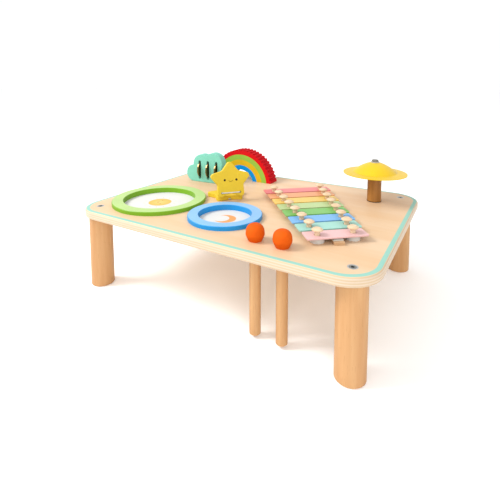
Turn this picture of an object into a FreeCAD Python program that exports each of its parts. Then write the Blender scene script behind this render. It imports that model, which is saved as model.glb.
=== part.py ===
import FreeCAD, Part

import math
import os

V = FreeCAD.Vector
os.makedirs("parts", exist_ok=True)

# Frame: origin on the floor under the table's centre, +X along the long front edge, +Y to the back.

# Tabletop
table_height = 155.0
top_length = 570.0
top_width = 429.0
top_thickness = 15.0
top_corner_radius = 54.0
top_edge_radius = 4.0

# Legs and the bolts that hold them
leg_diameter = 43.2
leg_inset_x = 36.5
leg_inset_y = 34.9
leg_foot_chamfer = 1.6
bolt_shank_diameter = 6.0
bolt_head_diameter = 10.0
bolt_head_height = 4.0
bolt_socket_width = 5.0
bolt_socket_depth = 2.5
bolt_reach = 40.0
cup_diameter = 15.0
cup_wall = 1.0
insert_diameter = 10.0
insert_length = 22.0
screw_clearance = 0.2

# Drums: centre, outer radius and ring width
green_drum_at = (-172.0, -95.2)
green_drum_radius = 93.4
green_ring_width = 22.2
blue_drum_at = (-2.1, -108.3)
blue_drum_radius = 67.1
blue_ring_width = 19.4
ring_height = 7.5
ring_edge_chamfer = 0.9
ring_lip_depth = 3.0
ring_lip_width = 4.0
head_skin = 1.2
recess_clearance = 0.2
hollow_ledge = 3.0
hollow_depth = 9.0

# Mallets, each standing in its own hole
mallet_left_at = (95.6, -169.8)
mallet_right_at = (142.4, -170.9)
stick_diameter = 18.0
stick_end_height = 4.5
stick_chamfer = 1.5
stick_in_head = 17.0
stick_hole_clearance = 0.6
mallet_head_diameter = 28.2
mallet_head_height = 26.5
mallet_head_foot_radius = 10.5

# Xylophone
bar_count = 8
bar_middle = (126.5, -9.2)
bar_pitch = 35.0
bar_row_angle = -52.7
bar_angle = 40.5
bar_width = 30.0
bar_thickness = 1.8
bar_longest = 143.0
bar_length_step = 6.3
bar_corner_radius = 3.0
bar_colours = ["red", "orange", "yellow", "lime", "green", "blue", "mint", "pink"]
felt_diameter = 22.0
felt_thickness = 8.4
peg_inset = 20.5
peg_stem_diameter = 8.5
peg_head_diameter = 17.5
peg_neck_height = 1.8
peg_rim_height = 1.5
peg_head_height = 3.6
peg_crown_ratio = 0.6
peg_depth = 11.0
bar_lift = 5.6
bar_hole_clearance = 0.8
rail_width = 16.0
rail_height = 4.6
rail_felt_thickness = 2.0
rail_overhang = 6.0

# Cymbal on its post
post_at = (205.7, 128.4)
post_diameter = 27.6
post_height = 75.2
post_top_chamfer = 1.0
post_ring_diameter = 28.8
post_ring_height = 1.2
cymbal_diameter = 124.5
cymbal_dome_radius = 43.0
cymbal_dome_rise = 19.2
cymbal_brim_rise = 1.6
cymbal_sheet = 1.4
cymbal_hole_radius = 4.2
washer_radius = 8.0
washer_thickness = 2.0
washer_hole_radius = 3.6
rocking_gap = 0.9
cymbal_screw_radius = 3.0
cymbal_screw_head_radius = 6.6
cymbal_screw_head_height = 2.8
cymbal_screw_chamfer = 1.2
cymbal_screw_depth = 30.0

# Rainbow: nested arches on a common centre below the table's surface
rainbow_at = (-120.7, 136.5)
rainbow_depth = 33.0
rainbow_centre_drop = 8.7
rainbow_radii = [83.7, 72.1, 59.3, 45.8, 34.6]
rainbow_colours = ["red", "green", "yellow", "blue"]
rib_pitch_angle = 6.45
rib_groove_radius = 2.7
rib_end_margin = 6.0

# Cloud with jingles
cloud_at = (-193.75, 69.0)
cloud_turn = 4.0
cloud_thickness = 20.0
cloud_lobes = [(-21.3, 20.5, 20.5), (2.5, 43.0, 25.0), (34.0, 47.0, 26.0), (43.0, 20.5, 20.5)]
cloud_edge_chamfer = 1.0
slot_middle = 20.1
slot_pitch = 23.4
slot_width = 7.0
slot_bottom = 7.0
slot_top = 53.0
rod_height = 29.6
rod_radius = 1.5
rod_fit = 0.03
rod_end_cover = 5.0
jingle_radius = 20.0
jingle_sheet = 0.8
jingle_hole_radius = 2.1
jingle_cup_radius = 7.0
jingle_cup_depth = 0.9
jingle_offset = 1.9

# Castanet: a star hinged to a star base by an elastic cord
castanet_at = (-48.7, -20.7)
castanet_turn = 46.0
castanet_lean = 12.0
star_tip_distance = 47.0
star_notch_distance = 28.0
star_height_ratio = 0.905
star_tip_radius = 6.5
star_notch_radius = 7.0
star_thickness = 11.0
base_star_thickness = 9.0
star_edge_chamfer = 0.8
hinge_gap = 0.4
cord_radius = 1.2
cord_bend_radius = 2.4
cord_hole_radius = 2.3
cord_hole_spread = 37.0
cord_hole_height = 8.0
cord_groove_depth = 3.2

# Screws driven up from below the tabletop
screw_radius = 1.75
screw_length = 20.0
screw_head_radius = 3.8
screw_head_height = 2.6
screw_fit = 0.05

surface = table_height
underside = table_height - top_thickness


def unit(angle):
    """Unit vector in the plan at an angle in degrees from +X."""
    return V(math.cos(math.radians(angle)), math.sin(math.radians(angle)), 0)


def save(shape, node):
    """Write one node, with its solids in one file."""
    shape.exportStep("parts/" + node + ".step")


def group(shapes):
    """Separate solids that share one node."""
    return Part.makeCompound(shapes)


def cylinder(radius, low, high, at=(0, 0)):
    """Upright cylinder between two heights."""
    return Part.makeCylinder(radius, high - low, V(at[0], at[1], low))


def rod_between(start, end, radius):
    """Round rod between two points."""
    along = end - start
    return Part.makeCylinder(radius, along.Length, start, along)


def rounded_wire(corners, to_space):
    """Closed outline through corners (u, v, radius), each rounded by a tangent arc."""
    edges = []
    points = [V(u, v, 0) for u, v, _ in corners]
    ends = []
    for index, (_, _, radius) in enumerate(corners):
        corner = points[index]
        back = (points[index - 1] - corner).normalize()
        ahead = (points[(index + 1) % len(points)] - corner).normalize()
        if radius <= 0:
            ends.append((corner, None, corner))
            continue
        half = back.getAngle(ahead) / 2
        middle = (back + ahead).normalize()
        centre = corner + middle * (radius / math.sin(half))
        reach = radius / math.tan(half)
        ends.append((corner + back * reach, centre - middle * radius, corner + ahead * reach))
    for index, (start, crown, end) in enumerate(ends):
        before = ends[index - 1][2]
        if (start - before).Length > 1e-6:
            edges.append(Part.LineSegment(to_space(before), to_space(start)).toShape())
        if crown is not None:
            edges.append(Part.Arc(to_space(start), to_space(crown), to_space(end)).toShape())
    return Part.Wire(edges)


def revolved(corners, at=(0, 0), low=0.0):
    """Solid turned about a vertical axis from corners (radius, height, rounding)."""
    wire = rounded_wire(corners, lambda p: V(at[0] + p.x, at[1], low + p.y))
    return Part.Face(wire).revolve(V(at[0], at[1], 0), V(0, 0, 1), 360)


def plate(corners, thickness, low):
    """Flat plate with a rounded outline in the plan."""
    wire = rounded_wire(corners, lambda p: V(p.x, p.y, low))
    return Part.Face(wire).extrude(V(0, 0, thickness))


def rounded_rims(shape, radius, heights):
    """Round the edges of an upright plate that lie at the given heights."""
    rims = []
    for edge in shape.Edges:
        box = edge.BoundBox
        if box.ZLength < 1e-6 and any(abs(box.ZMin - height) < 1e-6 for height in heights):
            rims.append(edge)
    return shape.makeFillet(radius, rims)


def leg_places():
    """Centres of the four legs by name."""
    x = top_length / 2 - leg_inset_x
    y = top_width / 2 - leg_inset_y
    return {"front_left": (-x, -y), "front_right": (x, -y), "back_left": (-x, y), "back_right": (x, y)}


def drums():
    """Centre, outer radius and ring width of both drums."""
    green = (green_drum_at, green_drum_radius, green_ring_width)
    blue = (blue_drum_at, blue_drum_radius, blue_ring_width)
    return [green, blue]


def ring_screw_places(at, radius, width, count, first_angle):
    """Screw places on the middle circle of a drum ring."""
    middle = radius - width / 2
    places = []
    for index in range(count):
        step = unit(first_angle + 360.0 / count * index) * middle
        places.append((at[0] + step.x, at[1] + step.y))
    return places


def bar_centre(index):
    """Plan centre of one xylophone bar."""
    offset = unit(bar_row_angle) * (bar_pitch * (index - (bar_count - 1) / 2))
    return V(bar_middle[0], bar_middle[1], 0) + offset


def bar_length(index):
    """Length of one xylophone bar."""
    return bar_longest - bar_length_step * index


def peg_places(index):
    """Plan places of the two pegs of one bar."""
    reach = unit(bar_angle) * (bar_length(index) / 2 - peg_inset)
    centre = bar_centre(index)
    return [centre - reach, centre + reach]


def rainbow_screw_places():
    """Screw places under the two feet of the rainbow's widest arch pair."""
    foot = (rainbow_radii[1] + rainbow_radii[2]) / 2
    y = rainbow_at[1] + rainbow_depth / 2
    return [(rainbow_at[0] - foot, y), (rainbow_at[0] + foot, y)]


def cloud_point(along, height, depth=0.0):
    """Point in space from the cloud's own face coordinates."""
    side = unit(cloud_turn)
    inward = unit(cloud_turn + 90)
    return V(cloud_at[0], cloud_at[1], surface + height) + side * along + inward * depth


def cloud_screw_places():
    """Screw places under the cloud, between its slots."""
    middle = cloud_thickness / 2
    reach = slot_pitch * 0.5
    places = [cloud_point(slot_middle - reach, 0, middle), cloud_point(slot_middle + reach, 0, middle)]
    return [(place.x, place.y) for place in places]


def star_corners():
    """Star outline with its lowest points on v = 0."""
    corners = []
    for index in range(10):
        tip = index % 2 == 0
        distance = star_tip_distance if tip else star_notch_distance
        rounding = star_tip_radius if tip else star_notch_radius
        turn = math.radians(90 + 36 * index)
        corners.append([distance * math.cos(turn), distance * math.sin(turn) * star_height_ratio, rounding])
    flat = rounded_wire([tuple(corner) for corner in corners], lambda p: p)
    drop = flat.BoundBox.YMin
    return [(u, v - drop, rounding) for u, v, rounding in corners]


def castanet_point(along, up, depth, lean):
    """Point in space from the star's own face coordinates, for a lean from the vertical."""
    side = unit(castanet_turn)
    forward = unit(castanet_turn - 90)
    tilt = math.radians(lean)
    rise = V(0, 0, math.cos(tilt)) - forward * math.sin(tilt)
    out = V(0, 0, math.sin(tilt)) + forward * math.cos(tilt)
    pivot = V(castanet_at[0], castanet_at[1], surface + base_star_thickness)
    return pivot + side * along + rise * up + out * depth


def base_screw_places():
    """Screw places under the star base."""
    places = []
    for along in (-star_notch_distance / 2, star_notch_distance / 2):
        spot = castanet_point(along, star_notch_distance * 1.3, 0, 90)
        places.append((spot.x, spot.y))
    return places


def all_screw_places():
    """Every screw driven up through the tabletop."""
    places = ring_screw_places(green_drum_at, green_drum_radius, green_ring_width, 4, 45)
    places += ring_screw_places(blue_drum_at, blue_drum_radius, blue_ring_width, 3, 90)
    places += rainbow_screw_places()
    places += cloud_screw_places()
    places += base_screw_places()
    places.append(post_at)
    return places


def screw(at):
    """Countersunk screw with its head flush in the tabletop's underside."""
    corners = [
        (0, 0, 0),
        (screw_head_radius, 0, 0),
        (screw_radius, screw_head_height, 0),
        (screw_radius, screw_length - screw_radius, 0),
        (0, screw_length, 0),
    ]
    return revolved(corners, at, underside)


def screw_cutter(at):
    """Countersunk hole in the tabletop, or pilot hole in what stands on it."""
    grown = [
        (0, -1, 0),
        (screw_head_radius + screw_fit + 1, -1, 0),
        (screw_radius + screw_fit, screw_head_height, 0),
        (screw_radius + screw_fit, screw_length + 0.5, 0),
        (0, screw_length + 0.5, 0),
    ]
    return revolved(grown, at, underside)


def drilled(shape, places):
    """Cut screw holes at the given places."""
    for place in places:
        shape = shape.cut(screw_cutter(place))
    return shape


def tabletop():
    """Plywood board with rounded edges and every hole that the pieces need."""
    x = top_length / 2
    y = top_width / 2
    outline = [(-x, -y, top_corner_radius), (x, -y, top_corner_radius)]
    outline += [(x, y, top_corner_radius), (-x, y, top_corner_radius)]
    board = plate(outline, top_thickness, underside)
    board = rounded_rims(board, top_edge_radius, [underside, surface])
    cutters = []
    for at in leg_places().values():
        cutters.append(cylinder(bolt_shank_diameter / 2 + screw_clearance, underside - 1, surface + 1, at))
        cutters.append(cylinder(cup_diameter / 2, surface - bolt_head_height - cup_wall, surface + 1, at))
    for at in (mallet_left_at, mallet_right_at):
        cutters.append(cylinder(stick_diameter / 2 + stick_hole_clearance, underside - 1, surface + 1, at))
    for at, radius, width in drums():
        inner = radius - width
        seat = inner + ring_lip_width + recess_clearance
        cutters.append(cylinder(seat, surface - ring_lip_depth - head_skin, surface + 1, at))
        cutters.append(cylinder(inner - hollow_ledge, surface - hollow_depth, surface + 1, at))
    for index in range(bar_count):
        for spot in peg_places(index):
            cutters.append(cylinder(peg_stem_diameter / 2, surface - peg_depth, surface + 1, (spot.x, spot.y)))
    for place in all_screw_places():
        cutters.append(screw_cutter(place))
    return board.cut(Part.makeCompound(cutters))


def leg(at):
    """Round leg with a softened foot and a hole for its insert and bolt."""
    radius = leg_diameter / 2
    corners = [
        (0, 0, 0),
        (radius - leg_foot_chamfer, 0, 0),
        (radius, leg_foot_chamfer, 0),
        (radius, underside, 0),
        (0, underside, 0),
    ]
    body = revolved(corners, at)
    body = body.cut(cylinder(insert_diameter / 2, underside - insert_length, underside + 1, at))
    tip = surface - bolt_head_height - bolt_reach
    return body.cut(cylinder(bolt_shank_diameter / 2 + screw_clearance, tip - 1, underside, at))


def leg_insert(at):
    """Threaded sleeve in the top of a leg."""
    sleeve = cylinder(insert_diameter / 2, underside - insert_length, underside, at)
    return sleeve.cut(cylinder(bolt_shank_diameter / 2, underside - insert_length - 1, underside + 1, at))


def bolt_cup(at):
    """Round cup that lets the bolt's head sit below the surface."""
    depth = bolt_head_height + cup_wall
    cup = cylinder(cup_diameter / 2, surface - depth, surface, at)
    cup = cup.cut(cylinder(bolt_head_diameter / 2 + screw_clearance, surface - bolt_head_height, surface + 1, at))
    return cup.cut(cylinder(bolt_shank_diameter / 2 + screw_clearance, surface - depth - 1, surface, at))


def leg_bolt(at):
    """Socket-head bolt with a hexagonal recess."""
    head_floor = surface - bolt_head_height
    head = cylinder(bolt_head_diameter / 2, head_floor, surface, at)
    shank = cylinder(bolt_shank_diameter / 2, head_floor - bolt_reach, head_floor, at)
    corners = []
    for index in range(6):
        spoke = unit(60 * index) * (bolt_socket_width / math.sqrt(3))
        corners.append((at[0] + spoke.x, at[1] + spoke.y, 0))
    socket = plate(corners, bolt_socket_depth + 1, surface - bolt_socket_depth)
    return head.fuse(shank).cut(socket)


def drum_ring(at, radius, width, places):
    """Turned ring whose lip reaches into the board and clamps the drumhead."""
    inner = radius - width
    ease = ring_edge_chamfer
    corners = [
        (inner, -ring_lip_depth, 0),
        (inner + ring_lip_width, -ring_lip_depth, 0),
        (inner + ring_lip_width, 0, 0),
        (radius, 0, 0),
        (radius, ring_height - ease, 0),
        (radius - ease, ring_height, 0),
        (inner + ease, ring_height, 0),
        (inner, ring_height - ease, 0),
    ]
    return drilled(revolved(corners, at, surface), places)


def drum_head(at, radius, width):
    """Thin drumhead in its recess, under the ring's lip."""
    rim = radius - width + ring_lip_width
    top = surface - ring_lip_depth
    return cylinder(rim, top - head_skin, top, at)


def mallet_head(at):
    """Egg-shaped head with a flat foot, bored for its stick."""
    radius = mallet_head_diameter / 2
    corners = [
        (stick_diameter / 2, 0, 0),
        (mallet_head_foot_radius, 0, 0),
        (radius + 0.9, mallet_head_height * 0.36, radius * 0.7),
        (radius * 0.92, mallet_head_height, radius * 0.8),
        (0, mallet_head_height, 0),
        (0, stick_in_head, 0),
        (stick_diameter / 2, stick_in_head, 0),
    ]
    return revolved(corners, at, surface)


def mallet_stick(at):
    """Dowel with chamfered ends, from just above the floor into its head."""
    radius = stick_diameter / 2
    length = surface + stick_in_head - stick_end_height
    corners = [
        (0, 0, 0),
        (radius - stick_chamfer, 0, 0),
        (radius, stick_chamfer, 0),
        (radius, length, 0),
        (0, length, 0),
    ]
    return revolved(corners, at, stick_end_height)


def xylophone_bar(index):
    """Flat metal bar with two holes, lying on its felts."""
    half = bar_length(index) / 2
    side = bar_width / 2
    low = surface + felt_thickness
    outline = [(-half, -side, bar_corner_radius), (half, -side, bar_corner_radius)]
    outline += [(half, side, bar_corner_radius), (-half, side, bar_corner_radius)]
    bar = plate(outline, bar_thickness, low)
    bar.rotate(V(0, 0, 0), V(0, 0, 1), bar_angle)
    bar.translate(bar_centre(index))
    for spot in peg_places(index):
        hole = peg_stem_diameter / 2 + bar_hole_clearance
        bar = bar.cut(cylinder(hole, low - 1, low + bar_thickness + 1, (spot.x, spot.y)))
    return bar


def felt(spot):
    """Thick felt ring under a bar."""
    ring = cylinder(felt_diameter / 2, surface, surface + felt_thickness, (spot.x, spot.y))
    return ring.cut(cylinder(peg_stem_diameter / 2, surface - 1, surface + felt_thickness + 1, (spot.x, spot.y)))


def peg(spot):
    """Tee-shaped peg glued into the board, with room for the bar under its head."""
    stem = peg_stem_diameter / 2
    head = peg_head_diameter / 2
    neck = felt_thickness + bar_thickness + bar_lift
    brim = neck + peg_neck_height
    crown = brim + peg_head_height
    corners = [
        (0, -peg_depth, 0),
        (stem, -peg_depth, 0),
        (stem, neck, 0),
        (head, brim, 0),
        (head, brim + peg_rim_height, 0),
        (head * peg_crown_ratio, crown, 0),
        (0, crown, 0),
    ]
    return revolved(corners, (spot.x, spot.y), surface)


def rail_box(width, low, high, margin):
    """Low strip under the bars, along the row of their centres."""
    half = bar_pitch * (bar_count - 1) / 2 + margin
    side = width / 2
    strip = plate([(-half, -side, 0), (half, -side, 0), (half, side, 0), (-half, side, 0)], high - low, low)
    strip.rotate(V(0, 0, 0), V(0, 0, 1), bar_row_angle)
    strip.translate(V(bar_middle[0], bar_middle[1], 0))
    return strip


def xylophone_rail():
    """Wooden rail glued to the board under the bars."""
    return rail_box(rail_width, surface, surface + rail_height, bar_width / 2 + rail_overhang)


def rail_felt():
    """Felt strip on the rail that stops a bar from ringing on wood."""
    low = surface + rail_height
    return rail_box(rail_width, low, low + rail_felt_thickness, bar_width / 2)


def cymbal_levels():
    """Heights of the cymbal's stack: post top, lower washer, sheet apex and upper washer."""
    post_top = surface + post_height
    lower = post_top + rocking_gap
    sheet = lower + washer_thickness
    upper = sheet + cymbal_sheet
    head = upper + washer_thickness + rocking_gap
    return {"post_top": post_top, "lower": lower, "sheet": sheet, "upper": upper, "screw_head": head}


def cymbal_sheet_shape():
    """Spun sheet with a wide dome and a shallow brim."""
    apex = cymbal_levels()["sheet"]
    flat = washer_radius + 2.0
    foot = cymbal_dome_radius
    rim = cymbal_diameter / 2

    def section(offset):
        crown_edge = V(post_at[0] + flat, post_at[1], apex + offset)
        bulge = V(post_at[0] + foot * 0.64, post_at[1], apex - cymbal_dome_rise * 0.40 + offset)
        dome_foot = V(post_at[0] + foot, post_at[1], apex - cymbal_dome_rise + offset)
        brim = V(post_at[0] + rim, post_at[1], apex - cymbal_dome_rise - cymbal_brim_rise + offset)
        start = V(post_at[0] + cymbal_hole_radius, post_at[1], apex + offset)
        return start, crown_edge, bulge, dome_foot, brim

    low = section(0)
    high = section(cymbal_sheet)
    edges = [
        Part.LineSegment(low[0], low[1]).toShape(),
        Part.Arc(low[1], low[2], low[3]).toShape(),
        Part.LineSegment(low[3], low[4]).toShape(),
        Part.LineSegment(low[4], high[4]).toShape(),
        Part.LineSegment(high[4], high[3]).toShape(),
        Part.Arc(high[3], high[2], high[1]).toShape(),
        Part.LineSegment(high[1], high[0]).toShape(),
        Part.LineSegment(high[0], low[0]).toShape(),
    ]
    return Part.Face(Part.Wire(edges)).revolve(V(post_at[0], post_at[1], 0), V(0, 0, 1), 360)


def cymbal_washer(level):
    """Felt washer in the cymbal's stack."""
    ring = cylinder(washer_radius, level, level + washer_thickness, post_at)
    return ring.cut(cylinder(washer_hole_radius, level - 1, level + washer_thickness + 1, post_at))


def cymbal_post():
    """Wooden post with a pilot hole at each end."""
    radius = post_diameter / 2
    top = post_height - post_ring_height
    corners = [
        (0, 0, 0),
        (radius, 0, 0),
        (radius, top - post_top_chamfer, 0),
        (radius - post_top_chamfer, top, 0),
        (0, top, 0),
    ]
    post = revolved(corners, post_at, surface + post_ring_height)
    post = drilled(post, [post_at])
    level = cymbal_levels()["post_top"]
    return post.cut(cylinder(cymbal_screw_radius, level - cymbal_screw_depth, level + 1, post_at))


def cymbal_base_ring():
    """Thin dark ring between the post and the board."""
    ring = cylinder(post_ring_diameter / 2, surface, surface + post_ring_height, post_at)
    return drilled(ring, [post_at])


def cymbal_screw():
    """Screw with a low round head that holds the cymbal loosely."""
    levels = cymbal_levels()
    foot = levels["post_top"] - cymbal_screw_depth + 1
    seat = levels["screw_head"] - foot
    crown = seat + cymbal_screw_head_height
    corners = [
        (0, 0, 0),
        (cymbal_screw_radius, 0, 0),
        (cymbal_screw_radius, seat, 0),
        (cymbal_screw_head_radius, seat, 0),
        (cymbal_screw_head_radius, crown - cymbal_screw_chamfer, 0),
        (cymbal_screw_head_radius - cymbal_screw_chamfer, crown, 0),
        (0, crown, 0),
    ]
    return revolved(corners, post_at, foot)


def rainbow_arch(index):
    """One arch of the rainbow, cut off flat at the board."""
    outer = rainbow_radii[index]
    inner = rainbow_radii[index + 1]
    centre = V(rainbow_at[0], rainbow_at[1], surface - rainbow_centre_drop)
    back = V(0, 1, 0)
    arch = Part.makeCylinder(outer, rainbow_depth, centre, back)
    arch = arch.cut(Part.makeCylinder(inner, rainbow_depth, centre, back))
    below = Part.makeBox(4 * outer, 2 * rainbow_depth, 2 * outer)
    below.translate(V(rainbow_at[0] - 2 * outer, rainbow_at[1] - rainbow_depth / 2, surface - 2 * outer))
    arch = arch.cut(below)
    if index == 0:
        arch = ribbed(arch, centre, outer)
    return drilled(arch, rainbow_screw_places())


def ribbed(arch, centre, outer):
    """Cut round grooves across the outer arch, so that a mallet rattles over its ribs."""
    foot_angle = math.degrees(math.asin(rainbow_centre_drop / outer))
    span = 180 - 2 * foot_angle - 2 * rib_end_margin
    count = int(span / rib_pitch_angle) + 1
    first = 90 - rib_pitch_angle * (count - 1) / 2
    grooves = []
    for index in range(count):
        turn = math.radians(first + rib_pitch_angle * index)
        spot = centre + V(math.cos(turn), 0, math.sin(turn)) * outer - V(0, 1, 0)
        grooves.append(Part.makeCylinder(rib_groove_radius, rainbow_depth + 2, spot, V(0, 1, 0)))
    return arch.cut(Part.makeCompound(grooves))


def cloud_places():
    """Middle of each slot along the cloud."""
    return [slot_middle + slot_pitch * (index - 1) for index in range(3)]


def rod_ends():
    """Where the jingle rod starts and stops along the cloud."""
    start = cloud_places()[0] - slot_width / 2 - rod_end_cover - 6
    end = cloud_places()[2] + slot_width / 2 + rod_end_cover + 4
    return start, end


def cloud_block():
    """Cloud-shaped block with three upright slots and a cross hole for the rod."""
    inward = unit(cloud_turn + 90)
    lobes = []
    for along, height, radius in cloud_lobes:
        lobes.append(Part.makeCylinder(radius, cloud_thickness, cloud_point(along, height), inward))
    left = cloud_lobes[0][0]
    right = cloud_lobes[3][0]
    fill = Part.makeBox(right - left, cloud_thickness, cloud_lobes[0][1] + 18)
    fill.rotate(V(0, 0, 0), V(0, 0, 1), cloud_turn)
    fill.translate(cloud_point(left, 0))
    block = lobes[0].multiFuse(lobes[1:] + [fill]).removeSplitter()
    rims = []
    for edge in block.Edges:
        depths = [(vertex.Point - cloud_point(0, 0)).dot(inward) for vertex in edge.Vertexes]
        level = min(vertex.Point.z for vertex in edge.Vertexes)
        flat = max(depths) - min(depths) < 1e-6
        if flat and (edge.BoundBox.ZMax > surface + 1e-3) and level > surface - 1e-3:
            rims.append(edge)
    block = block.makeChamfer(cloud_edge_chamfer, rims)
    for along in cloud_places():
        block = block.cut(slot_cutter(along))
    start, end = rod_ends()
    middle = cloud_thickness / 2
    hole_start = cloud_point(start, rod_height, middle)
    hole_end = cloud_point(end + 4 * cloud_thickness, rod_height, middle)
    block = block.cut(rod_between(hole_start, hole_end, rod_radius + rod_fit))
    return drilled(block, cloud_screw_places())


def slot_cutter(along):
    """Round-ended upright slot through the cloud."""
    inward = unit(cloud_turn + 90)
    radius = slot_width / 2
    depth = cloud_thickness + 2
    low = cloud_point(along, slot_bottom + radius, -1)
    high = cloud_point(along, slot_top - radius, -1)
    ends = [Part.makeCylinder(radius, depth, spot, inward) for spot in (low, high)]
    middle = Part.makeBox(slot_width, depth, high.z - low.z)
    middle.rotate(V(0, 0, 0), V(0, 0, 1), cloud_turn)
    middle.translate(cloud_point(along - radius, slot_bottom + radius, -1))
    return middle.multiFuse(ends)


def jingle_rod():
    """Thin rod that carries all the jingles."""
    start, end = rod_ends()
    middle = cloud_thickness / 2
    return rod_between(cloud_point(start, rod_height, middle), cloud_point(end, rod_height, middle), rod_radius)


def jingle(along, facing):
    """Cupped metal disc, with its cup towards its partner."""
    sheet = jingle_sheet
    cup = jingle_cup_radius
    deep = jingle_cup_depth
    corners = [
        (jingle_hole_radius, deep, 0),
        (cup - deep, deep, 0),
        (cup, 0, 0),
        (jingle_radius, 0, 0),
        (jingle_radius, sheet, 0),
        (cup, sheet, 0),
        (cup - deep, sheet + deep, 0),
        (jingle_hole_radius, sheet + deep, 0),
    ]
    disc = revolved(corners)
    disc.rotate(V(0, 0, 0), V(0, 1, 0), 90 * facing)
    disc.rotate(V(0, 0, 0), V(0, 0, 1), cloud_turn)
    near = jingle_offset - sheet - deep
    disc.translate(cloud_point(along + facing * near, rod_height, cloud_thickness / 2))
    return disc


def star_plate(thickness, lean, depth):
    """Star-shaped plate with softened rims and two cord holes."""
    back = rounded_wire(star_corners(), lambda p: castanet_point(p.x, p.y, depth, lean))
    out = castanet_point(0, 0, 1, lean) - castanet_point(0, 0, 0, lean)
    body = Part.Face(back).extrude(out * thickness)
    rims = []
    for edge in body.Edges:
        depths = [(vertex.Point - castanet_point(0, 0, depth, lean)).dot(out) for vertex in edge.Vertexes]
        if max(depths) - min(depths) < 1e-6:
            rims.append(edge)
    body = body.makeChamfer(star_edge_chamfer, rims)
    for along in (-cord_hole_spread / 2, cord_hole_spread / 2):
        start = castanet_point(along, cord_hole_height, depth - 1, lean)
        end = castanet_point(along, cord_hole_height, depth + thickness + 1, lean)
        body = body.cut(rod_between(start, end, cord_hole_radius))
    return body


def cord_run(flat_depth, end_depth, lean):
    """Cord across one face, with both ends turned into the holes."""
    reach = cord_hole_spread / 2
    bend = cord_bend_radius
    sign = 1 if flat_depth > end_depth else -1
    slope = bend * (1 - math.sqrt(0.5))

    def at(along, depth):
        return castanet_point(along, cord_hole_height, depth, lean)

    start = at(-reach, end_depth)
    left_low = at(-reach, flat_depth - sign * bend)
    left_crown = at(-reach + slope, flat_depth - sign * slope)
    left_high = at(-reach + bend, flat_depth)
    right_high = at(reach - bend, flat_depth)
    right_crown = at(reach - slope, flat_depth - sign * slope)
    right_low = at(reach, flat_depth - sign * bend)
    end = at(reach, end_depth)
    path = Part.Wire([
        Part.LineSegment(start, left_low).toShape(),
        Part.Arc(left_low, left_crown, left_high).toShape(),
        Part.LineSegment(left_high, right_high).toShape(),
        Part.Arc(right_high, right_crown, right_low).toShape(),
        Part.LineSegment(right_low, end).toShape(),
    ])
    circle = Part.Wire([Part.makeCircle(cord_radius, start, left_low - start)])
    return path.makePipeShell([circle], True, False)


def castanet_base():
    """Star base glued and screwed to the board, grooved below for the cord."""
    base = star_plate(base_star_thickness, 90, -base_star_thickness)
    reach = cord_hole_spread / 2 + cord_hole_radius
    low = castanet_point(-reach, cord_hole_height, -base_star_thickness, 90)
    groove = Part.makeBox(2 * reach, 2 * cord_hole_radius, cord_groove_depth)
    groove.translate(V(0, -cord_hole_radius, 0))
    groove.rotate(V(0, 0, 0), V(0, 0, 1), castanet_turn)
    groove.translate(V(low.x, low.y, surface))
    return drilled(base.cut(groove), base_screw_places())


def cord_links():
    """Two short stretches of cord between the base and the raised star."""
    links = []
    for along in (-cord_hole_spread / 2, cord_hole_spread / 2):
        low = castanet_point(along, cord_hole_height, 0, 90)
        high = castanet_point(along, cord_hole_height, hinge_gap, castanet_lean)
        step = (high - low).normalize() * cord_radius
        links.append(rod_between(low + step, high - step, cord_radius))
    return group(links)


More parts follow.
